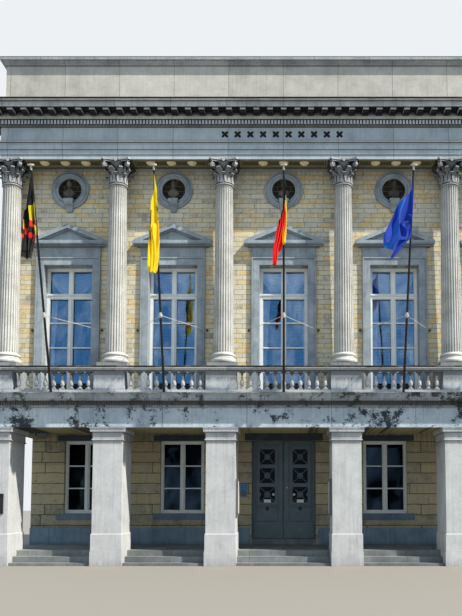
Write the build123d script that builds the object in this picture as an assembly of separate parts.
from build123d import *
import os
from math import atan, cos, degrees, hypot, radians, sin, tan

# A neoclassical town hall with an open ground-floor gallery on square piers, a balcony with
# turned balusters, fluted Corinthian columns on the upper front, and a plain attic.
# Millimetres. X runs along the front, Y into the building, Z up. The origin is on the ground
# in the middle of the plan.

# Plan, along the front.
centre_bay = 3800
side_bay = 3400
wall_corner_x = 8930
wall_thickness = 500

# Plan, from front to back, measured from the front faces of the gallery piers.
plan_depth = 13000
column_axis_depth = 750
upper_wall_depth = 1250
gallery_wall_depth = 3600

# Heights of the courses, one on another, from the ground up.
platform_top = 420
threshold_rise = 180
socle_height = 580
pier_plinth_top = 430
pier_pedestal_height = 535
pier_shaft_height = 2785
pier_cap_height = 400
beam_height = 620
balcony_bed_height = 60
balcony_dentil_height = 95
balcony_ovolo_height = 30
balcony_corona_height = 120
balcony_cyma_height = 95
upper_floor_rise = 40
balustrade_plinth_height = 130
baluster_height = 570
rail_height = 155
column_pedestal_height = 1040
column_base_height = 336
column_shaft_height = 5384
capital_height = 815
fascia_heights = (145, 155, 163)
taenia_height = 99
frieze_height = 478
cornice_bed_height = 35
dentil_height = 135
cornice_ovolo_height = 105
modillion_height = 110
corona_height = 160
cyma_height = 100
attic_height = 1440
coping_height = 235

# Seats between parts that move or hang against each other.
seat_gap = 0.3
running_gap = 5

threshold_top = platform_top + threshold_rise
socle_top = platform_top + socle_height
pier_pedestal_top = pier_plinth_top + pier_pedestal_height
pier_shaft_top = pier_pedestal_top + pier_shaft_height
beam_bottom = pier_shaft_top + pier_cap_height
balcony_bottom = beam_bottom + beam_height
balcony_dentil_bottom = balcony_bottom + balcony_bed_height
balcony_dentil_top = balcony_dentil_bottom + balcony_dentil_height
balcony_corona_bottom = balcony_dentil_top + balcony_ovolo_height
balcony_corona_top = balcony_corona_bottom + balcony_corona_height
balcony_top = balcony_corona_top + balcony_cyma_height
upper_floor_top = balcony_top + upper_floor_rise
balustrade_plinth_top = balcony_top + balustrade_plinth_height
baluster_top = balustrade_plinth_top + baluster_height
rail_top = baluster_top + rail_height
column_plinth_top = balcony_top + column_pedestal_height
column_shaft_bottom = column_plinth_top + column_base_height
column_shaft_top = column_shaft_bottom + column_shaft_height
architrave_bottom = column_shaft_top + capital_height
taenia_bottom = architrave_bottom + sum(fascia_heights)
frieze_bottom = taenia_bottom + taenia_height
cornice_bottom = frieze_bottom + frieze_height
dentil_bottom = cornice_bottom + cornice_bed_height
dentil_top = dentil_bottom + dentil_height
modillion_bottom = dentil_top + cornice_ovolo_height
corona_bottom = modillion_bottom + modillion_height
corona_top = corona_bottom + corona_height
cornice_top = corona_top + cyma_height
attic_coping_bottom = cornice_top + attic_height
attic_top = attic_coping_bottom + coping_height

front_y = -plan_depth / 2
back_y = plan_depth / 2
half_bays = [0, (centre_bay + side_bay) / 2, (centre_bay + side_bay) / 2 + side_bay]
bay_centres = sorted({side * x for side in (-1, 1) for x in half_bays})
support_xs = sorted(side * (centre_bay / 2 + i * side_bay) for side in (-1, 1) for i in range(3))
wall_inner_x = wall_corner_x - wall_thickness
back_wall_inner_y = back_y - wall_thickness
upper_wall_y = front_y + upper_wall_depth
upper_wall_back_y = upper_wall_y + wall_thickness
gallery_wall_y = front_y + gallery_wall_depth
gallery_wall_back_y = gallery_wall_y + wall_thickness


def block(x_span, y_span, z_span):
    """A rectangular block between the given limits."""
    sizes = [high - low for low, high in (x_span, y_span, z_span)]
    centre = [(high + low) / 2 for low, high in (x_span, y_span, z_span)]
    return Pos(*centre) * Box(*sizes)


def centred(middle, width):
    """The limits of a span of this width about its middle."""
    return (middle - width / 2, middle + width / 2)


def facing_front(y):
    """A drawing plane that looks at the front: right is +X and up is +Z."""
    return Plane(origin=(0, y, 0), x_dir=(1, 0, 0), z_dir=(0, -1, 0))


def facing_side(x):
    """A drawing plane across the building: right is +Y and up is +Z."""
    return Plane(origin=(x, 0, 0), x_dir=(0, 1, 0), z_dir=(1, 0, 0))


def segments(points):
    """Neighbouring points in pairs. A point's third value is the rise of the arc that ends there."""
    return [(start[:2], end[:2], end[2] if len(end) > 2 else 0) for start, end in zip(points, points[1:])]


def outline_face(lines):
    """A face inside straight lines and arcs, given as start, end and rise to the left."""
    return make_face([SagittaArc(*line) if line[2] else Line(*line[:2]) for line in lines])


def closed_face(points):
    """A face inside this outline. It ends with its first point again where an arc closes it."""
    closing = [] if tuple(points[-1][:2]) == tuple(points[0][:2]) else [points[0]]
    return outline_face(segments(list(points) + closing))


def turned(profile, x, y, z):
    """A turned piece from a profile of (radius, height) points, standing at x, y, z."""
    outline = [(0, profile[0][1])] + list(profile) + [(0, profile[-1][1])]
    return Pos(x, y, z) * revolve(Plane.XZ * closed_face(outline), Axis.Z)


def raised(moulding, height, bottom, reach=0):
    """A moulding's points stretched to this height, lifted to its bottom and moved out by a reach."""
    stretch = height / moulding[-1][1]
    return [(reach + point[0], bottom + point[1] * stretch, *point[2:]) for point in moulding]


def moulded_section(half_width, profile):
    """A section whose two sides follow one profile of (reach, height) points."""
    right = [((half_width + a[0], a[1]), (half_width + b[0], b[1]), rise) for a, b, rise in segments(profile)]
    left = [((-b[0], b[1]), (-a[0], a[1]), rise) for a, b, rise in reversed(right)]
    top = (right[-1][1], left[0][0], 0)
    bottom = (left[-1][1], right[0][0], 0)
    return outline_face(right + [top] + left + [bottom])


def moulded_block(middle, half_sizes, profile):
    """A block with one moulding on all four sides, mitred at its corners."""
    x, y = middle
    half_x, half_y = half_sizes
    reach = max(point[0] for point in profile)
    along_y = Pos(x, 0, 0) * extrude(
        facing_front(y + half_y + reach) * moulded_section(half_x, profile), 2 * (half_y + reach))
    along_x = Pos(0, y, 0) * extrude(
        facing_side(x - half_x - reach) * moulded_section(half_y, profile), 2 * (half_x + reach))
    return along_y & along_x


def moulded_ring(half_x, y_span, profile, hollow):
    """A moulded block round a hollow whose half width and Y limits are given."""
    middle_y = sum(y_span) / 2
    body = moulded_block((0, middle_y), (half_x, (y_span[1] - y_span[0]) / 2), profile)
    return body - block((-hollow[0], hollow[0]), hollow[1], (profile[0][1], profile[-1][1]))


def toothed_bar(length, tooth, pitch, backing, reach, z_span):
    """A bar along X with a row of square teeth that stand towards -Y from its face at y = 0."""
    count = int(length / pitch)
    start = -(count - 1) * pitch / 2
    points = [(-length / 2, backing), (-length / 2, 0)]
    for i in range(count):
        left, right = centred(start + i * pitch, tooth)
        points += [(left, 0), (left, -reach), (right, -reach), (right, 0)]
    points += [(length / 2, 0), (length / 2, backing)]
    return Pos(0, 0, z_span[0]) * extrude(closed_face(points), z_span[1] - z_span[0])


def write(name, solids):
    """Write one sub-part as a STEP file, as separate solids."""
    flat = [solid for shape in solids for solid in shape.solids()]
    export_step(Compound(flat) if len(flat) > 1 else flat[0], f"parts/{name}.step")


# Gallery floor and steps
step_front = 50
step_tread = 300
first_step_top = 80
second_step_top = 250
pier_plinth_width = 960
pier_plinth_depth = 1280


def plinth_y_span():
    """The pier plinth stands forward of the shaft by its projection."""
    projection = (pier_plinth_width - pier_width) / 2
    return (front_y - projection, front_y - projection + pier_plinth_depth)


def gallery_platform():
    """The stone floor of the gallery, cut back round the pier plinths."""
    platform_front = front_y + step_front + 2 * step_tread
    slab = block((-wall_corner_x, wall_corner_x), (platform_front, gallery_wall_y), (0, platform_top))
    for x in support_xs:
        slab -= block(centred(x, pier_plinth_width), plinth_y_span(), (0, platform_top))
    return [slab]


def gallery_steps():
    """Two steps between each pair of piers."""
    y0 = front_y + step_front
    y1 = y0 + step_tread
    y2 = y1 + step_tread
    flights = []
    for left, right in zip(support_xs, support_xs[1:]):
        span = (left + pier_plinth_width / 2, right - pier_plinth_width / 2)
        lower = block(span, (y0, y1), (0, first_step_top))
        upper = block(span, (y1, y2), (0, second_step_top))
        flights.append(lower + upper)
    return flights


def ground_floor():
    """The floor behind the gallery wall, level with the door's threshold."""
    return [block((-wall_inner_x, wall_inner_x), (gallery_wall_back_y, back_wall_inner_y),
                  (0, threshold_top))]


# Gallery piers
pier_width = 880
pier_depth = 1200
pedestal_width = 930
pedestal_slope = 25

# The cap's moulding as reach and height: a round neck ring, a plain neck, a hollow under the top
# slab and a slab with a stepped edge.
cap_moulding = ((30, 0), (30, 36, -12), (14, 36), (14, 212), (42, 250, 10), (42, 264), (80, 264),
                (80, 345), (95, 360), (95, 400))


def pier_block(x, width, z_span):
    """One square block of a pier that keeps the same projection all round."""
    projection = (width - pier_width) / 2
    y_span = (front_y - projection, front_y + pier_depth + projection)
    return block(centred(x, width), y_span, z_span)


def pier_moulding(x, profile):
    """A moulded course round a pier's shaft."""
    return moulded_block((x, front_y + pier_depth / 2), (pier_width / 2, pier_depth / 2), profile)


def pier_pedestals():
    """The plinth and the pedestal under each pier, with a sloped upper edge."""
    reach = (pedestal_width - pier_width) / 2
    profile = ((reach, pier_plinth_top), (reach, pier_pedestal_top - pedestal_slope), (0, pier_pedestal_top))
    return [
        block(centred(x, pier_plinth_width), plinth_y_span(), (0, pier_plinth_top)) + pier_moulding(x, profile)
        for x in support_xs
    ]


def pier_shafts():
    return [pier_block(x, pier_width, (pier_pedestal_top, pier_shaft_top)) for x in support_xs]


def pier_caps():
    """A moulded cap on each pier, stretched to the height of its course."""
    profile = raised(cap_moulding, pier_cap_height, pier_shaft_top)
    return [pier_moulding(x, profile) for x in support_xs]


# Gallery beam
beam_end_x = support_xs[-1] + pier_width / 2
beam_fillet_height = 45
beam_fillet_reach = 14


def gallery_beam():
    """The beam over the piers, with a narrow fillet along its lower edge."""
    z_fillet = beam_bottom + beam_fillet_height
    beam = block((-beam_end_x, beam_end_x), (front_y, upper_wall_back_y), (beam_bottom, balcony_bottom))
    fillet_end = beam_end_x + beam_fillet_reach
    return [beam + block((-fillet_end, fillet_end), (front_y - beam_fillet_reach, front_y + pier_depth),
                         (beam_bottom, z_fillet))]


def gallery_end_beams():
    """The beams that carry the side walls over the open ends of the gallery."""
    return [
        block(sorted((side * wall_inner_x, side * wall_corner_x)), (upper_wall_back_y, gallery_wall_y),
              (beam_bottom, balcony_bottom))
        for side in (-1, 1)
    ]


# Ground-floor wall behind the gallery
window_width = 1550
window_head = 4070
window_sill = 1500
door_width = 2268
door_head = 4085
gallery_window_xs = [x for x in bay_centres if x]


def gallery_wall(side):
    """The wall on one side of the door, with its two windows."""
    edges = sorted((side * door_width / 2, side * wall_corner_x))
    y_span = (gallery_wall_y, gallery_wall_back_y)
    wall = block(edges, y_span, (0, balcony_bottom))
    for x in gallery_window_xs:
        if x * side > 0:
            wall -= block(centred(x, window_width), y_span, (window_sill, window_head))
    return [wall]


def gallery_wall_over_door():
    return [block(centred(0, door_width), (gallery_wall_y, gallery_wall_back_y), (door_head, balcony_bottom))]


socle_projection = 60
socle_reveal = 60


def gallery_socle():
    """The blue-stone base course on each side of the door."""
    return [
        block(sorted((side * (door_width / 2 + socle_reveal), side * wall_corner_x)),
              (gallery_wall_y - socle_projection, gallery_wall_y), (platform_top, socle_top))
        for side in (-1, 1)
    ]


stone_band_width = 2030
stone_band_projection = 50
sill_height = 220
lintel_height = 190
door_lintel_width = 2750
door_lintel_height = 285


def gallery_window_stones():
    """Blue-stone sills and lintels of the gallery windows, and the lintel over the door."""
    y_span = (gallery_wall_y - stone_band_projection, gallery_wall_y)
    stones = []
    for x in gallery_window_xs:
        stones.append(block(centred(x, stone_band_width), y_span, (window_sill - sill_height, window_sill)))
        stones.append(block(centred(x, stone_band_width), y_span, (window_head, window_head + lintel_height)))
    stones.append(block(centred(0, door_lintel_width), y_span, (door_head, door_head + door_lintel_height)))
    return stones


# Windows
frame_bar = 90
frame_depth = 90
mullion_width = 130
transom_height = 150
glass_thickness = 12
gallery_frame_setback = 140
upper_frame_setback = 280
side_frame_setback = 150


def window_frame(x_span, y_front, z_span, mullions, transoms):
    """A timber frame as wide as its opening, with its mullions and transoms, facing -Y."""
    y_span = (y_front, y_front + frame_depth)
    frame = block(x_span, y_span, z_span)
    columns = [x_span[0] + frame_bar, x_span[1] - frame_bar]
    for x in mullions:
        columns[-1:-1] = centred(x, mullion_width)
    rows = [z_span[0] + frame_bar, z_span[1] - frame_bar]
    for z in transoms:
        rows[-1:-1] = centred(z, transom_height)
    for left, right in zip(columns[::2], columns[1::2]):
        for low, high in zip(rows[::2], rows[1::2]):
            frame -= block((left, right), y_span, (low, high))
    return frame


def window_glass(x_span, y_front, z_span):
    """One sheet of glass that closes the window, against the back of its frame."""
    y = y_front + frame_depth
    return block(x_span, (y, y + glass_thickness), z_span)


gallery_frame_y = gallery_wall_y + gallery_frame_setback


def gallery_window_frames():
    return [
        window_frame(centred(x, window_width), gallery_frame_y, (window_sill, window_head), [x], [])
        for x in gallery_window_xs
    ]


def gallery_window_glass():
    return [
        window_glass(centred(x, window_width), gallery_frame_y, (window_sill, window_head))
        for x in gallery_window_xs
    ]


# Front door
jamb_width = 49
door_setback = 200
leaf_thickness = 60
leaf_gap = 12
barrel_radius = 14
barrel_height = 120
pin_radius = 8
hinge_end_distance = 270
light_size = 540
light_pitch = 672
light_count = 3
top_rail = 246
pane_thickness = 10
meeting_stile = 177
hinge_stile = 93
panel_border_top = 159
panel_border_bottom = 130
bead_width = 26
bead_projection = 14
kick_board_height = 590
lower_panel_gap = 34

leaf_front_y = gallery_wall_y + door_setback
leaf_back_y = leaf_front_y + leaf_thickness
leaf_edge_x = door_width / 2 - jamb_width - running_gap
leaf_bottom = threshold_top + running_gap
leaf_top = door_head - jamb_width - running_gap
hinge_x = leaf_edge_x + running_gap / 2
hinge_y = leaf_back_y + barrel_radius
hinge_levels = (leaf_bottom + hinge_end_distance, (leaf_bottom + leaf_top) / 2, leaf_top - hinge_end_distance)
panel_x = (leaf_gap / 2 + meeting_stile, leaf_edge_x - hinge_stile)
light_centre_x = sum(panel_x) / 2
light_levels = [leaf_top - top_rail - light_size / 2 - i * light_pitch for i in range(light_count)]
panel_z = (light_levels[-1] - light_size / 2 - panel_border_bottom,
           light_levels[0] + light_size / 2 + panel_border_top)
lower_panel_z = (leaf_bottom + kick_board_height + lower_panel_gap, panel_z[0] - lower_panel_gap)


def door_threshold():
    """The stone step in the doorway, as deep as the wall."""
    return [block(centred(0, door_width), (gallery_wall_y, gallery_wall_back_y), (0, threshold_top))]


def hinge_plate(side, x_from, z_span):
    """A short plate that joins a hinge barrel to the timber in front of it."""
    x_span = sorted((side * x_from, side * hinge_x))
    return block(x_span, (leaf_back_y, hinge_y), z_span)


def door_frame():
    """The timber lining with its hinge pins, which stand up through the leaves' barrels."""
    y_span = (leaf_front_y, leaf_back_y)
    outer = block(centred(0, door_width), y_span, (threshold_top, door_head))
    inner = block(centred(0, door_width - 2 * jamb_width), y_span, (threshold_top, door_head - jamb_width))
    frame = outer - inner
    for side in (-1, 1):
        for z in hinge_levels:
            lower_barrel = (z - barrel_height / 2, z)
            frame += Pos(side * hinge_x, hinge_y, sum(lower_barrel) / 2) * Cylinder(
                barrel_radius, barrel_height / 2)
            frame += hinge_plate(side, door_width / 2, lower_barrel)
            frame += Pos(side * hinge_x, hinge_y, z + barrel_height / 2) * Cylinder(pin_radius, barrel_height)
    return [frame]


def raised_bead(x_span, z_span):
    """A rectangular bead that stands from the front of a leaf."""
    y_span = (leaf_front_y - bead_projection, leaf_front_y)
    inner_x = (x_span[0] + bead_width, x_span[1] - bead_width)
    inner_z = (z_span[0] + bead_width, z_span[1] - bead_width)
    return block(x_span, y_span, z_span) - block(inner_x, y_span, inner_z)


def door_leaf(side):
    """One leaf with its square lights, its beads, its kick board and its hinge barrels."""
    x_span = sorted((side * leaf_gap / 2, side * leaf_edge_x))
    bead_x = sorted(side * x for x in panel_x)
    leaf = block(x_span, (leaf_front_y, leaf_back_y), (leaf_bottom, leaf_top))
    for z in light_levels:
        leaf -= block(centred(side * light_centre_x, light_size), (leaf_front_y, leaf_back_y),
                      centred(z, light_size))
    leaf += raised_bead(bead_x, panel_z) + raised_bead(bead_x, lower_panel_z)
    leaf += block(x_span, (leaf_front_y - bead_projection, leaf_front_y),
                  (leaf_bottom, leaf_bottom + kick_board_height))
    for z in hinge_levels:
        z_span = (z + seat_gap, z + seat_gap + barrel_height)
        middle = Pos(side * hinge_x, hinge_y, sum(z_span) / 2)
        barrel = middle * Cylinder(barrel_radius, barrel_height) + hinge_plate(
            side, leaf_edge_x - barrel_radius, z_span)
        leaf += barrel - middle * Cylinder(pin_radius + seat_gap, barrel_height)
    return [leaf]


def door_glass(side):
    """Square panes held in the middle of the leaf's thickness."""
    y_span = centred((leaf_front_y + leaf_back_y) / 2, pane_thickness)
    return [
        block(centred(side * light_centre_x, light_size), y_span, centred(z, light_size))
        for z in light_levels
    ]


# Fittings on the gallery walls
board_width = 620
board_height = 1100
board_thickness = 70
board_bottom = 1500
board_setback = 210
box_x = -1410
box_width = 220
box_height = 430
box_thickness = 120
box_bottom = 2090
plaque_width = 620
plaque_height = 600
plaque_thickness = 30
plaque_bottom = 1550


def notice_boards():
    """Two shallow notice cases on the inner sides of the piers beside the door."""
    pier_face_x = (centre_bay - pier_width) / 2
    y_span = (front_y + board_setback, front_y + board_setback + board_width)
    return [
        block(sorted((side * pier_face_x, side * (pier_face_x - board_thickness))), y_span,
              (board_bottom, board_bottom + board_height))
        for side in (-1, 1)
    ]


def letterbox():
    return [block(centred(box_x, box_width), (gallery_wall_y - box_thickness, gallery_wall_y),
                  (box_bottom, box_bottom + box_height))]


def wall_plaque():
    """A bare dark plate on the front of the left corner pier."""
    return [block(centred(support_xs[0], plaque_width), (front_y - plaque_thickness, front_y),
                  (plaque_bottom, plaque_bottom + plaque_height))]


# Side and back walls
side_window_width = 1300
side_window_spacing = 3200
side_window_count = 3
back_window_spacing = 3400
back_window_count = 5
side_window_rise = 840
upper_window_height = 4422

upper_window_head = balcony_top + upper_window_height
side_window_middle_y = (gallery_wall_y + back_y) / 2
side_window_ys = [side_window_middle_y + (i - (side_window_count - 1) / 2) * side_window_spacing
                  for i in range(side_window_count)]
back_window_xs = [(i - (back_window_count - 1) / 2) * back_window_spacing for i in range(back_window_count)]
storey_windows = ((window_sill, window_head), (upper_floor_top + side_window_rise, upper_window_head))


def side_walls(y_start, z_span, window_z):
    """The two side walls of one storey, with their row of windows."""
    walls = []
    for side in (-1, 1):
        x_span = sorted((side * wall_inner_x, side * wall_corner_x))
        wall = block(x_span, (y_start, back_wall_inner_y), z_span)
        for y in side_window_ys:
            wall -= block(x_span, centred(y, side_window_width), window_z)
        walls.append(wall)
    return walls


def ground_side_walls():
    return side_walls(gallery_wall_back_y, (0, balcony_bottom), storey_windows[0])


def upper_side_walls():
    return side_walls(upper_wall_back_y, (balcony_bottom, architrave_bottom), storey_windows[1])


def back_wall(z_span, window_z):
    """The back wall of one storey, with its row of windows."""
    y_span = (back_wall_inner_y, back_y)
    wall = block((-wall_corner_x, wall_corner_x), y_span, z_span)
    for x in back_window_xs:
        wall -= block(centred(x, side_window_width), y_span, window_z)
    return [wall]


def outer_window_places():
    """The positions and turns of the windows in the side and back walls of one storey."""
    side_x = wall_corner_x - side_frame_setback
    places = [Pos(side * side_x, y, 0) * Rot(0, 0, side * 90) for side in (-1, 1) for y in side_window_ys]
    places += [Pos(x, back_y - side_frame_setback, 0) * Rot(0, 0, 180) for x in back_window_xs]
    return places


def outer_window_frames():
    span = centred(0, side_window_width)
    return [place * window_frame(span, 0, z_span, [0], []) for z_span in storey_windows
            for place in outer_window_places()]


def outer_window_glass():
    span = centred(0, side_window_width)
    return [place * window_glass(span, 0, z_span) for z_span in storey_windows
            for place in outer_window_places()]


# Upper floor and balcony
floor_thickness = 300
balcony_bed_reach = 50
balcony_dentil_back_reach = 60
balcony_corona_reach = 270
balcony_projection = 350
balcony_dentil_width = 46
balcony_dentil_pitch = 76
balcony_dentil_reach = 55
balcony_dentil_backing = 10


def upper_floor():
    """The upper floor, which is also the ceiling of the gallery."""
    z_span = (upper_floor_top - floor_thickness, upper_floor_top)
    return [block((-wall_inner_x, wall_inner_x), (upper_wall_back_y, back_wall_inner_y), z_span)]


def balcony_slab():
    """The balcony with its moulded edge, returned round both ends."""
    edge_rise = 14
    profile = (
        (balcony_bed_reach, balcony_bottom),
        (balcony_bed_reach, balcony_dentil_bottom),
        (balcony_dentil_back_reach, balcony_dentil_bottom),
        (balcony_dentil_back_reach, balcony_dentil_top),
        (balcony_dentil_back_reach + balcony_dentil_backing + balcony_dentil_reach, balcony_dentil_top),
        (balcony_corona_reach, balcony_corona_bottom, -edge_rise),
        (balcony_corona_reach, balcony_corona_top),
        (balcony_projection, balcony_top - balcony_cyma_height / 4, edge_rise),
        (balcony_projection, balcony_top),
    )
    slab = moulded_block((0, upper_wall_y), (beam_end_x, upper_wall_depth), profile)
    limit = beam_end_x + 2 * balcony_projection
    return [slab - block((-limit, limit), (upper_wall_y, upper_wall_y + 2 * upper_wall_depth),
                         (balcony_bottom, balcony_top))]


# Balustrade
balustrade_thickness = 220
die_width = 930
rail_forward = 45
baluster_square = 150
centre_baluster_count = 11
side_baluster_count = 9
edge_baluster_space = 0.65

# The handrail's moulding as reach and height: a plain fillet, a hollow and a rounded upper edge.
rail_moulding = ((0, 0), (0, 40), (38, 80, 9), (38, 136), (20, 155, -5))

# The baluster's turned part as radius and height: a foot ring, a neck, a full belly, a long
# tapering upper neck and a ring under the cap.
baluster_foot = 52
baluster_cap = 42
baluster_moulding = ((56, 52), (60, 66, -5), (50, 80, -4), (32, 96, 5), (30, 112), (62, 190, -12),
                     (46, 300, -8), (27, 440, 6), (27, 462), (42, 470), (42, 484, -5), (30, 492),
                     (48, 528, 6))

balustrade_y = (front_y, front_y + balustrade_thickness)
plinth_end_x = support_xs[-1] + die_width / 2


def balustrade_plinth():
    return [block((-plinth_end_x, plinth_end_x), balustrade_y, (balcony_top, balustrade_plinth_top))]


def balustrade_dies():
    """The solid blocks over the piers, which run back to the column pedestals."""
    y_span = (balustrade_y[0], column_pedestal_y[0])
    return [block(centred(x, die_width), y_span, (balustrade_plinth_top, baluster_top)) for x in support_xs]


def balustrade_rail():
    """The handrail, which stands forward of the blocks and balusters below it."""
    y_front, y_back = balustrade_y[0] - rail_forward, balustrade_y[1]
    profile = raised(rail_moulding, rail_height, baluster_top)
    return [moulded_block((0, (y_front + y_back) / 2), (plinth_end_x + rail_forward, (y_back - y_front) / 2),
                          profile)]


def baluster(x, y):
    """A turned baluster between a square foot and a square cap."""
    stretch = baluster_height / (baluster_moulding[-1][1] + baluster_cap)
    profile = raised(baluster_moulding, baluster_moulding[-1][1] * stretch, 0)
    square = (centred(x, baluster_square), centred(y, baluster_square))
    foot = block(*square, (balustrade_plinth_top, balustrade_plinth_top + baluster_foot * stretch))
    cap = block(*square, (baluster_top - baluster_cap * stretch, baluster_top))
    return foot + turned(profile, x, y, balustrade_plinth_top) + cap


def balusters():
    """Evenly spaced balusters between the dies, more of them in the wider middle bay."""
    model = baluster(0, sum(balustrade_y) / 2)
    placed = []
    for left, right in zip(support_xs, support_xs[1:]):
        count = centre_baluster_count if left < 0 < right else side_baluster_count
        start = left + die_width / 2
        pitch = (right - left - die_width) / (count - 1 + 2 * edge_baluster_space)
        placed += [Pos(start + (i + edge_baluster_space) * pitch, 0, 0) * model for i in range(count)]
    return placed


# Columns
pedestal_side = 935
shaft_bottom_radius = 324
shaft_top_radius = 274
flute_count = 24
flute_radius_bottom = 31
flute_radius_top = 26
flute_end_distance = 50

# The base's moulding as reach from the shaft and height: a full lower ring, a hollow between two
# fillets, an upper ring and the fillet that the shaft stands on.
base_moulding = ((38, 0), (38, 172, -52), (52, 172), (52, 184), (26, 222, 10), (26, 234), (14, 234),
                 (14, 322, -40), (10, 322), (0, 336))

column_y = front_y + column_axis_depth
column_pedestal_y = (column_y - pedestal_side / 2, upper_wall_y)


def column_pedestals():
    """The blocks behind the balustrade that carry the columns and run back to the wall."""
    return [block(centred(x, pedestal_side), column_pedestal_y, (balcony_top, column_plinth_top))
            for x in support_xs]


def column_bases():
    """An attic base: two rounded rings with a hollow between them."""
    profile = raised(base_moulding, column_base_height, 0, shaft_bottom_radius)
    base = turned(profile, 0, column_y, column_plinth_top)
    return [Pos(x, 0, 0) * base for x in support_xs]


def flute():
    """The round-ended hollow that is cut along the shaft, standing on its lower centre."""
    length = column_shaft_height - 2 * flute_end_distance
    low, high = flute_radius_bottom, flute_radius_top
    diagonal = sin(radians(45))
    outline = make_face([
        ThreePointArc((0, -low), (low * diagonal, -low * diagonal), (low, 0)),
        Line((low, 0), (high, length)),
        ThreePointArc((high, length), (high * diagonal, length + high * diagonal), (0, length + high)),
        Line((0, length + high), (0, -low)),
    ])
    return revolve(Plane.XZ * outline, Axis.Z)


def column_shafts():
    """A tapering shaft with flutes that stop short of both ends."""
    slope = (shaft_bottom_radius - shaft_top_radius) / column_shaft_height
    start_radius = shaft_bottom_radius - slope * flute_end_distance
    first = Pos(start_radius, 0, flute_end_distance) * Rot(0, -degrees(atan(slope)), 0) * flute()
    shaft = turned(((shaft_bottom_radius, 0), (shaft_top_radius, column_shaft_height)), 0, 0, 0)
    # The flutes are cut one at a time: taken together, every other one would be lost.
    for i in range(flute_count):
        shaft = shaft.cut(Rot(0, 0, i * 360 / flute_count) * first)
    return [Pos(x, column_y, column_shaft_bottom) * shaft for x in support_xs]


# Capitals: a bell with two rings of leaves, a pair of scrolls at each corner as one volute, and
# a slab with hollow sides and cut corners.
bell_foot_radius = 280
bell_waist_radius = 286
bell_waist_height = 420
bell_lip_radius = 372
bell_curve = 4
bell_flare = 34
astragal_height = 60
astragal_bulge = 28
abacus_half_width = 460
abacus_corner_cut = 62
abacus_hollow = 75
abacus_lip_height = 60
abacus_neck_height = 50
leaves_in_ring = 8
leaf_root_depth = 60
lower_leaf = (285, 215, 112)
upper_leaf = (470, 205, 150)
volute_radius = 78
volute_distance = 498
volute_width = 96
volute_eye_radius = 28
volute_eye_width = 126
volute_stem_width = 76
stem_back_drop = 235
stem_foot_reach = 55
stem_foot_drop = 265
stem_scroll_drop = 30
stem_top_drop = 60
stem_bulge = 24
flower_radius = 54
flower_projection = 26


# A leaf as shares of its size, each with the rise of its arc: from the side its reach and height,
# and from the front one edge's half width and height.
leaf_side = ((0.16, 0), (0.19, 0.62, 6), (1, 0.9, 34), (1.03, 1, -12), (0.45, 1.02, -10))
leaf_edge = ((0.72, 0), (0.98, 0.55, -10), (0.62, 0.92, -10))
leaf_back_height = 0.9
leaf_tip_bulge = 0.12
leaf_foot_gap = 20


def leaf(height, width, tip_reach):
    """A leaf that rises on the bell and rolls out at its tip, cut to a rounded outline."""
    base = astragal_height + leaf_foot_gap
    back = bell_foot_radius - leaf_root_depth
    side = [(bell_foot_radius + share * tip_reach, base + rise * height, *arc) for share, rise, *arc in leaf_side]
    half = width / 2
    right = [(half * share, base + rise * height, *arc) for share, rise, *arc in leaf_edge]
    top_left = (-right[2][0], right[2][1], -leaf_tip_bulge * height)
    left = [top_left, (-right[1][0], *right[1][1:]), (-right[0][0], base, right[2][2])]
    body = extrude(facing_front(0) * closed_face(
        [(back, base)] + side + [(back, base + leaf_back_height * height)]), half, both=True)
    front = closed_face([(-right[0][0], base)] + right + left)
    return body & extrude(facing_side(0) * front, 2 * abacus_half_width)


def volute():
    """A stem that leans out of the bell to a scroll with a raised eye, along +X."""
    neck_z = capital_height - abacus_lip_height - abacus_neck_height
    scroll_z = neck_z - volute_radius
    back = bell_foot_radius - leaf_root_depth
    stem = closed_face((
        (back, neck_z - stem_back_drop),
        (bell_foot_radius + stem_foot_reach, neck_z - stem_foot_drop),
        (volute_distance - volute_radius, scroll_z - stem_scroll_drop, stem_bulge),
        (volute_distance, scroll_z),
        (volute_distance, neck_z),
        (volute_distance - volute_radius, neck_z),
        (back, neck_z - stem_top_drop, -stem_bulge / 2),
    ))
    body = extrude(facing_front(0) * stem, volute_stem_width / 2, both=True)
    centre = Pos(volute_distance, 0, scroll_z) * Rot(90, 0, 0)
    return (body + centre * Cylinder(volute_radius, volute_width)
            + centre * Cylinder(volute_eye_radius, volute_eye_width))


def abacus(half, height):
    """A square slab with hollow sides and cut corners."""
    corner = half - abacus_corner_cut
    quarter = [(half, corner), (corner, half)]
    points = []
    for i in range(4):
        for x, y in quarter:
            for _ in range(i):
                x, y = -y, x
            points.append((x, y))
    hollowed = [(*point, abacus_hollow) if i % 2 == 0 and i else point for i, point in enumerate(points)]
    closing = (*points[0], abacus_hollow)
    return extrude(outline_face(segments(hollowed + [closing])), height)


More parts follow.
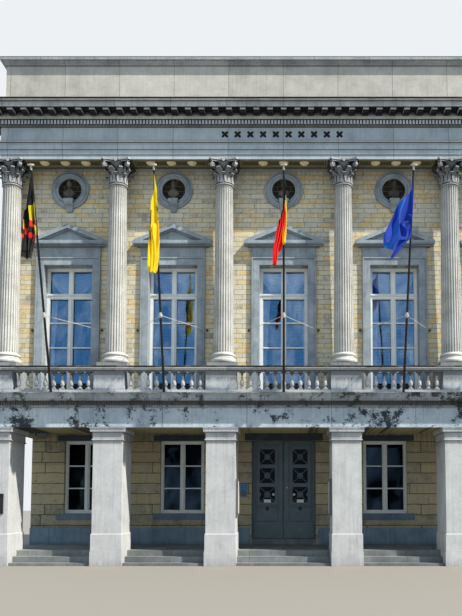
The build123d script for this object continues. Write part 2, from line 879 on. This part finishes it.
def column_capitals():
    """One Corinthian capital, fused from its pieces and repeated on every column."""
    top = capital_height
    neck_z = top - abacus_lip_height - abacus_neck_height
    bell = turned((
        (bell_foot_radius, 0),
        (bell_foot_radius, astragal_height, -astragal_bulge),
        (bell_waist_radius, bell_waist_height, bell_curve),
        (bell_lip_radius, neck_z, bell_flare),
    ), 0, 0, 0)
    step = 360 / leaves_in_ring
    lower, upper, scroll = leaf(*lower_leaf), leaf(*upper_leaf), volute()
    flower = Pos(abacus_half_width - abacus_hollow, 0, top - abacus_lip_height) * Rot(0, 90, 0) * Cylinder(
        flower_radius, 2 * flower_projection)
    pieces = [Rot(0, 0, i * step) * lower for i in range(leaves_in_ring)]
    pieces += [Rot(0, 0, (i + 0.5) * step) * upper for i in range(leaves_in_ring)]
    pieces += [Rot(0, 0, i * 90 + 45) * scroll for i in range(4)]
    pieces += [Rot(0, 0, i * 90) * flower for i in range(4)]
    pieces.append(Pos(0, 0, neck_z) * abacus(abacus_half_width - flower_projection, abacus_neck_height))
    pieces.append(Pos(0, 0, top - abacus_lip_height) * abacus(abacus_half_width, abacus_lip_height))
    capital = bell.fuse(*[solid for piece in pieces for solid in piece.solids()])
    return [Pos(x, column_y, column_shaft_top) * capital for x in support_xs]


# Upper front wall
upper_window_width = 1580
fanlight_height = 942
roundel_drop = 649
roundel_outer = 616
roundel_inner = 379
niche_depth = 150

roundel_level = architrave_bottom - roundel_drop
upper_frame_y = upper_wall_y + upper_frame_setback
upper_transom = upper_window_head - fanlight_height


def upper_front_wall():
    """The wall behind the columns, with tall windows and a round niche over each."""
    y_span = (upper_wall_y, upper_wall_back_y)
    wall = block((-wall_corner_x, wall_corner_x), y_span, (balcony_bottom, architrave_bottom))
    for x in bay_centres:
        wall -= block(centred(x, upper_window_width), y_span, (balcony_top, upper_window_head))
        wall -= Pos(x, upper_wall_y + niche_depth / 2, roundel_level) * Rot(90, 0, 0) * Cylinder(
            roundel_inner, niche_depth)
    return [wall]


def french_window_frames():
    return [
        window_frame(centred(x, upper_window_width), upper_frame_y, (balcony_top, upper_window_head), [x],
                     [upper_transom])
        for x in bay_centres
    ]


def french_window_glass():
    return [
        window_glass(centred(x, upper_window_width), upper_frame_y, (balcony_top, upper_window_head))
        for x in bay_centres
    ]


surround_border = 250
surround_projection = 60
surround_band_height = 253
surround_frieze_height = 333
surround_edge_width = 45
surround_edge_projection = 25
pediment_cornice_height = 172
pediment_rise = 545
pediment_half_width = 1282
pediment_projection = 240
pediment_bed_height = 60
pediment_bed_inset = 120
tympanum_recess = 130
raking_height = 125
raking_bed = 40

surround_half_width = upper_window_width / 2 + surround_border
surround_band_top = upper_window_head + surround_band_height
surround_frieze_top = surround_band_top + surround_frieze_height
pediment_cornice_top = surround_frieze_top + pediment_cornice_height


def window_surrounds():
    """Blue-stone jambs and head band with a raised outer edge, and a frieze above."""
    surrounds = []
    edge = surround_edge_width
    face_y = upper_wall_y - surround_projection
    for x in bay_centres:
        y_span = (face_y, upper_wall_y)
        edge_y = (face_y - surround_edge_projection, face_y)
        slab = block(centred(x, 2 * surround_half_width), y_span, (balcony_top, surround_frieze_top))
        slab -= block(centred(x, upper_window_width), y_span, (balcony_top, upper_window_head))
        border = block(centred(x, 2 * surround_half_width), edge_y, (balcony_top, surround_band_top))
        border -= block(centred(x, 2 * (surround_half_width - edge)), edge_y,
                        (balcony_top, surround_band_top - edge))
        surrounds.append(slab + border)
    return surrounds


def gable_outline(half, base, slope):
    """A low triangle that stands on a line at this height."""
    return closed_face(((-half, base), (half, base), (0, base + slope * half)))


def window_pediments():
    """A cornice and a low gable with a stepped recess over each tall window."""
    slope = pediment_rise / pediment_half_width
    across = hypot(1, slope) / slope
    base = pediment_cornice_top
    corona_z = surround_frieze_top + pediment_bed_height
    bed_half = pediment_half_width - pediment_bed_inset
    depth = pediment_projection
    bed = extrude(facing_front(upper_wall_y) * closed_face((
        (-bed_half, surround_frieze_top), (bed_half, surround_frieze_top),
        (pediment_half_width, corona_z, 12), (-pediment_half_width, corona_z), (-bed_half, surround_frieze_top, 12),
    )), depth - pediment_bed_inset)
    gable = extrude(facing_front(upper_wall_y) * closed_face((
        (-pediment_half_width, corona_z), (pediment_half_width, corona_z), (pediment_half_width, base),
        (0, base + pediment_rise), (-pediment_half_width, base),
    )), depth)
    model = bed + gable
    steps = ((raking_height, tympanum_recess / 2), (raking_height + raking_bed, tympanum_recess))
    for border, recess in steps:
        field = gable_outline(pediment_half_width - border * across, base, slope)
        model -= extrude(facing_front(upper_wall_y - depth + recess) * field, recess)
    return [Pos(x, 0, 0) * model for x in bay_centres]


ring_projection = 110
ring_edge = 45
ring_edge_projection = 60
bracket_shelf_drop = 353
bracket_height = 385
bracket_top_width = 322
bracket_bottom_width = 172
bracket_projection = 240

# The bracket's scrolled underside as reach and height, from its lower end to its top.
bracket_moulding = ((72, 46, 20), (108, 192, -22), (240, 316, 26), (240, 385))

bracket_top = roundel_level - bracket_shelf_drop
bracket_bottom = bracket_top - bracket_height


def roundels():
    """A moulded ring round each niche, with a scrolled bracket that carries its bust."""
    low, high = roundel_inner, roundel_outer
    ring_face = closed_face((
        (low, 0), (low, ring_edge_projection), (low + ring_edge, ring_edge_projection),
        (low + 2 * ring_edge, ring_projection, -12), (high - 2 * ring_edge, ring_projection, 16),
        (high - ring_edge, ring_edge_projection), (high, ring_edge_projection), (high, 0),
    ))
    ring = revolve(Plane.XZ * ring_face, Axis.Z)
    ring = Pos(0, upper_wall_y, roundel_level) * Rot(90, 0, 0) * ring
    scroll = raised(bracket_moulding, bracket_height, bracket_bottom)
    side = closed_face([(upper_wall_y, bracket_top), (upper_wall_y, bracket_bottom)]
                       + [(upper_wall_y - point[0], *point[1:]) for point in scroll])
    front = closed_face((
        (-bracket_bottom_width / 2, bracket_bottom), (bracket_bottom_width / 2, bracket_bottom),
        (bracket_top_width / 2, bracket_top), (-bracket_top_width / 2, bracket_top),
    ))
    bracket = extrude(facing_side(0) * side, bracket_top_width, both=True) & extrude(
        facing_front(upper_wall_y) * front, bracket_projection)
    model = ring + bracket
    return [Pos(x, 0, 0) * model for x in bay_centres]


# Each level of a bust as half width, half depth and height: foot, waist, chest, shoulders, neck.
bust_levels = ((75, 58, 0), (62, 48, 60), (118, 78, 105), (196, 98, 190), (188, 92, 262), (96, 76, 318),
               (58, 60, 352), (56, 62, 410))
head_half_width = 82
head_half_depth = 98
head_half_height = 122
head_level = 500
nose_radius = 18
bust_depth = 108


def busts():
    """Plain head-and-shoulders figures, one on each bracket."""
    sections = [Plane.XY.offset(z) * Ellipse(width, depth) for width, depth, z in bust_levels]
    torso = loft(sections)
    head = Pos(0, 0, head_level) * scale(Sphere(head_half_width),
                                         (1, head_half_depth / head_half_width, head_half_height / head_half_width))
    nose = Pos(0, -head_half_depth, head_level - nose_radius) * Sphere(nose_radius)
    figure = torso + head + nose
    return [Pos(x, upper_wall_y - bust_depth, bracket_top) * figure for x in bay_centres]


# Entablature
architrave_half_depth = 290
architrave_overhang = 60
soffit_depth = 610
soffit_recess = 150
fascia_step = 22
taenia_reach = 90

architrave_half_x = support_xs[-1] + architrave_half_depth
architrave_y = (column_y - architrave_half_depth, back_y + architrave_overhang)
hollow = (wall_inner_x, (upper_wall_back_y, back_wall_inner_y))


def stepped(levels):
    """A stepped profile from (reach, bottom, top) courses."""
    return [point for reach, low, high in levels for point in ((reach, low), (reach, high))]


def architrave():
    """Stepped faces under a narrow moulding, with a recess in the soffit behind the columns."""
    levels = []
    low = architrave_bottom
    for i, height in enumerate(fascia_heights):
        levels.append((i * fascia_step, low, low + height))
        low += height
    profile = stepped(levels) + [(taenia_reach, taenia_bottom + taenia_height / 2, 12),
                                 (taenia_reach, frieze_bottom)]
    band = moulded_ring(architrave_half_x, architrave_y, profile, hollow)
    recess_y = (architrave_y[0] + soffit_depth, upper_wall_y)
    return [band - block((-wall_inner_x, wall_inner_x), recess_y,
                         (architrave_bottom, architrave_bottom + soffit_recess))]


def frieze():
    profile = ((0, frieze_bottom), (0, cornice_bottom))
    return [moulded_ring(architrave_half_x, architrave_y, profile, hollow)]


dentil_back_reach = 50
dentil_backing = 20
dentil_width = 64
dentil_pitch = 104
dentil_reach = 70
modillion_back_reach = 200
modillion_width = 175
modillion_pitch = 427

# The block's scrolled underside as reach from its band and height, from its back to its front.
modillion_moulding = ((86, 11, 10), (189, 37, -10), (270, 44, 12), (270, 110))
corona_reach = 520
cornice_projection = 610
ornament_return = 3600


def main_cornice():
    """Bed mould, dentil band, ovolo, modillion band, corona and top moulding, all round."""
    curve = 16
    profile = (
        (0, cornice_bottom),
        (dentil_back_reach, dentil_bottom, -curve / 2),
        (dentil_back_reach, dentil_top),
        (dentil_back_reach + dentil_backing + dentil_reach, dentil_top),
        (modillion_back_reach, modillion_bottom, -curve),
        (modillion_back_reach, corona_bottom),
        (corona_reach, corona_bottom),
        (corona_reach, corona_top),
        ((corona_reach + cornice_projection) / 2, (corona_top + cornice_top) / 2, -curve / 2),
        (cornice_projection, cornice_top - curve, curve / 2),
        (cornice_projection, cornice_top),
    )
    return [moulded_ring(architrave_half_x, architrave_y, profile, hollow)]


def returned(bar, front_y_plane, side_x_plane, joint):
    """A straight bar on the front, and shorter ones turned to face out of both sides."""
    front, side = bar
    placed = [Pos(0, front_y_plane, 0) * front]
    for direction in (-1, 1):
        placed.append(Pos(direction * side_x_plane, front_y_plane + joint + ornament_return / 2, 0)
                      * Rot(0, 0, direction * 90) * side)
    return placed


def dentil_bars(reach, tooth, pitch, backing, projection, z_span, half_x, start_y):
    """Toothed bars on the front and on both returns of a band that stands out by this reach."""
    front = toothed_bar(2 * (half_x + reach + backing), tooth, pitch, backing, projection, z_span)
    side = toothed_bar(ornament_return, tooth, pitch, backing, projection, z_span)
    return returned((front, side), start_y - reach - backing, half_x + reach + backing,
                    backing + running_gap)


def cornice_dentils():
    return dentil_bars(dentil_back_reach, dentil_width, dentil_pitch, dentil_backing, dentil_reach,
                       (dentil_bottom, dentil_top), architrave_half_x, architrave_y[0])


def balcony_dentils():
    return dentil_bars(balcony_dentil_back_reach, balcony_dentil_width, balcony_dentil_pitch,
                       balcony_dentil_backing, balcony_dentil_reach,
                       (balcony_dentil_bottom, balcony_dentil_top), beam_end_x, front_y)


def modillions():
    """Scrolled blocks under the corona on the front and on both returns."""
    scroll = raised(modillion_moulding, modillion_height, modillion_bottom)
    side = closed_face([(0, corona_bottom), (0, modillion_bottom)]
                       + [(-point[0], *point[1:]) for point in scroll])
    model = extrude(facing_side(0) * side, modillion_width / 2, both=True)
    face_x = architrave_half_x + modillion_back_reach
    face_y = architrave_y[0] - modillion_back_reach
    count = int((2 * face_x + modillion_width) / modillion_pitch)
    placed = [Pos((i - (count - 1) / 2) * modillion_pitch, face_y, 0) * model for i in range(count)]
    for side_sign in (-1, 1):
        for i in range(int(ornament_return / modillion_pitch)):
            y = face_y + modillion_width + i * modillion_pitch
            placed.append(Pos(side_sign * face_x, y, 0) * Rot(0, 0, side_sign * 90) * model)
    return placed


# Attic
attic_inset = 90
attic_thickness = 400
attic_foot_height = 210
attic_foot_reach = 30

# The coping's moulding as reach and height: a fillet, a hollow, a round and a deep top slab.
coping_moulding = ((0, 0), (33, 0), (33, 30), (99, 85, 8), (155, 130, -8), (165, 130), (165, 235))

attic_half_x = architrave_half_x - attic_inset
attic_y = (architrave_y[0] + attic_inset, architrave_y[1] - attic_inset)
attic_hollow = (attic_half_x - attic_thickness, (attic_y[0] + attic_thickness, attic_y[1] - attic_thickness))


def attic():
    """The plain wall over the cornice, on a slightly wider foot course."""
    foot_top = cornice_top + attic_foot_height
    profile = ((attic_foot_reach, cornice_top), (attic_foot_reach, foot_top - attic_foot_reach),
               (0, foot_top), (0, attic_coping_bottom))
    return [moulded_ring(attic_half_x, attic_y, profile, attic_hollow)]


def attic_coping():
    """The moulded coping, with a hollow and a round under its top edge."""
    profile = raised(coping_moulding, coping_height, attic_coping_bottom)
    return [moulded_ring(attic_half_x, attic_y, profile, attic_hollow)]


# Roof
roof_pitch = 13
roof_thickness = 150


def hipped_solid(half_x, y_span, base_z, pitch):
    """A solid with four slopes of one pitch on a rectangular base."""
    half_y = (y_span[1] - y_span[0]) / 2
    rise = half_y * tan(radians(pitch))
    ridge_half = half_x - half_y
    long_profile = closed_face(((-half_x, base_z), (half_x, base_z), (ridge_half, base_z + rise),
                                (-ridge_half, base_z + rise)))
    middle_y = sum(y_span) / 2
    end_profile = closed_face(((y_span[0], base_z), (y_span[1], base_z), (middle_y, base_z + rise)))
    along_y = extrude(facing_front(y_span[1]) * long_profile, y_span[1] - y_span[0])
    along_x = extrude(facing_side(-half_x) * end_profile, 2 * half_x)
    return along_y & along_x


def roof():
    """A low hipped shell inside the attic, resting on the top of the cornice."""
    outer = hipped_solid(*attic_hollow, cornice_top, roof_pitch)
    drop = roof_thickness / cos(radians(roof_pitch))
    return [outer - Pos(0, 0, -drop) * outer]


# Flagpoles and flags
pole_foot_radius = 38
pole_tip_radius = 27
pole_length = 6370
pole_lean = 18.4
pole_foot_distance = 120
pole_plate_radius = 75
pole_plate_height = 40
finial_radius = 90
finial_thickness = 35
collar_distance = 2290
collar_radius = 60
stay_radius = 8
stay_reach = 1120
stay_wall_rise = 2270
stay_plate_radius = 45
stay_plate_thickness = 24

pole_foot_y = front_y - pole_foot_distance
pole_axis = Pos(0, pole_foot_y, balcony_top) * Rot(pole_lean, 0, 0)


def pole_point(distance):
    """A point on the pole's axis, at this distance from its foot: y and z."""
    return (pole_foot_y - distance * sin(radians(pole_lean)), balcony_top + distance * cos(radians(pole_lean)))


def pole_radius(distance):
    """The pole's radius at this distance from its foot."""
    return pole_foot_radius + (pole_tip_radius - pole_foot_radius) * distance / pole_length


def flagpoles():
    """A leaning, tapering pole with a foot plate, a collar for its stays and a flat finial."""
    plate = Pos(0, pole_foot_y, balcony_top + pole_plate_height / 2) * Cylinder(
        pole_plate_radius, pole_plate_height)
    start = pole_plate_height / 2
    shaft = revolve(Plane.XZ * closed_face(((0, start), (pole_foot_radius, start),
                                            (pole_tip_radius, pole_length), (0, pole_length))), Axis.Z)
    collar = Pos(0, 0, collar_distance) * Cylinder(collar_radius, collar_radius)
    finial = Pos(0, 0, pole_length) * Cylinder(finial_radius, finial_thickness)
    model = plate + pole_axis * (shaft + collar + finial)
    return [Pos(x, 0, 0) * model for x in bay_centres]


def rod(start, end, radius):
    """A straight round rod between two points."""
    line = Line(start, end)
    return sweep(Plane(origin=start, z_dir=line % 0) * Circle(radius), line)


def flagpole_stays():
    """Two rods from each pole's collar to round plates on the wall beside its window."""
    y, z = pole_point(collar_distance)
    rods = []
    for x in bay_centres:
        for side in (-1, 1):
            end = Vector(x + side * stay_reach, upper_wall_y - stay_plate_thickness / 2,
                         balcony_top + stay_wall_rise)
            collar = Vector(x, y, z)
            start = collar + (end - collar).normalized() * (collar_radius + stay_radius)
            plate = Pos(end.X, end.Y, end.Z) * Rot(90, 0, 0) * Cylinder(stay_plate_radius, stay_plate_thickness)
            rods.append(rod(start, end, stay_radius) + plate)
    return rods


flag_top_distance = 6150
flag_hoist = 1450
flag_foot_forward = 60

# Each flag's middle beside its pole, its furled width and its drop, from left to right.
flag_sizes = ((-105, 330, 2450), (-5, 330, 2830), (-120, 400, 2600), (-425, 860, 2450), (60, 380, 2500))


def flags():
    """Furled flags: closed shapes that hang from the pole's upper end, just in front of it."""
    flag_low_distance = flag_top_distance - flag_hoist
    top_y, top_z = pole_point(flag_top_distance)
    low_y, low_z = pole_point(flag_low_distance)
    top_y -= (pole_radius(flag_top_distance) + seat_gap) / cos(radians(pole_lean))
    low_y -= (pole_radius(flag_low_distance) + seat_gap) / cos(radians(pole_lean))
    shapes = []
    for x, (offset, width, drop) in zip(bay_centres, flag_sizes):
        bottom_z = top_z - drop
        side = closed_face((
            (top_y, top_z), (low_y, low_z), (low_y - flag_foot_forward, bottom_z), (top_y, bottom_z),
        ))
        shapes.append(extrude(facing_side(x + offset - width / 2) * side, width))
    return shapes


sub_parts = {
    "gallery_platform": gallery_platform(),
    "gallery_steps": gallery_steps(),
    "ground_floor": ground_floor(),
    "pier_pedestals": pier_pedestals(),
    "pier_shafts": pier_shafts(),
    "pier_caps": pier_caps(),
    "gallery_beam": gallery_beam(),
    "gallery_end_beams": gallery_end_beams(),
    "gallery_wall_left": gallery_wall(-1),
    "gallery_wall_right": gallery_wall(1),
    "gallery_wall_over_door": gallery_wall_over_door(),
    "gallery_socle": gallery_socle(),
    "gallery_window_stones": gallery_window_stones(),
    "gallery_window_frames": gallery_window_frames(),
    "gallery_window_glass": gallery_window_glass(),
    "door_threshold": door_threshold(),
    "door_frame": door_frame(),
    "door_leaf_left": door_leaf(-1),
    "door_leaf_right": door_leaf(1),
    "door_glass_left": door_glass(-1),
    "door_glass_right": door_glass(1),
    "notice_boards": notice_boards(),
    "letterbox": letterbox(),
    "wall_plaque": wall_plaque(),
    "ground_side_walls": ground_side_walls(),
    "upper_side_walls": upper_side_walls(),
    "ground_back_wall": back_wall((0, balcony_bottom), storey_windows[0]),
    "upper_back_wall": back_wall((balcony_bottom, architrave_bottom), storey_windows[1]),
    "outer_window_frames": outer_window_frames(),
    "outer_window_glass": outer_window_glass(),
    "upper_floor": upper_floor(),
    "balcony_slab": balcony_slab(),
    "balcony_dentils": balcony_dentils(),
    "balustrade_plinth": balustrade_plinth(),
    "balustrade_dies": balustrade_dies(),
    "balusters": balusters(),
    "balustrade_rail": balustrade_rail(),
    "column_pedestals": column_pedestals(),
    "column_bases": column_bases(),
    "column_shafts": column_shafts(),
    "column_capitals": column_capitals(),
    "upper_front_wall": upper_front_wall(),
    "french_window_frames": french_window_frames(),
    "french_window_glass": french_window_glass(),
    "window_surrounds": window_surrounds(),
    "window_pediments": window_pediments(),
    "roundels": roundels(),
    "busts": busts(),
    "architrave": architrave(),
    "frieze": frieze(),
    "main_cornice": main_cornice(),
    "cornice_dentils": cornice_dentils(),
    "modillions": modillions(),
    "attic": attic(),
    "attic_coping": attic_coping(),
    "roof": roof(),
    "flagpoles": flagpoles(),
    "flagpole_stays": flagpole_stays(),
    "flags": flags(),
}

os.makedirs("parts", exist_ok=True)
for part_name, solids in sub_parts.items():
    write(part_name, solids)
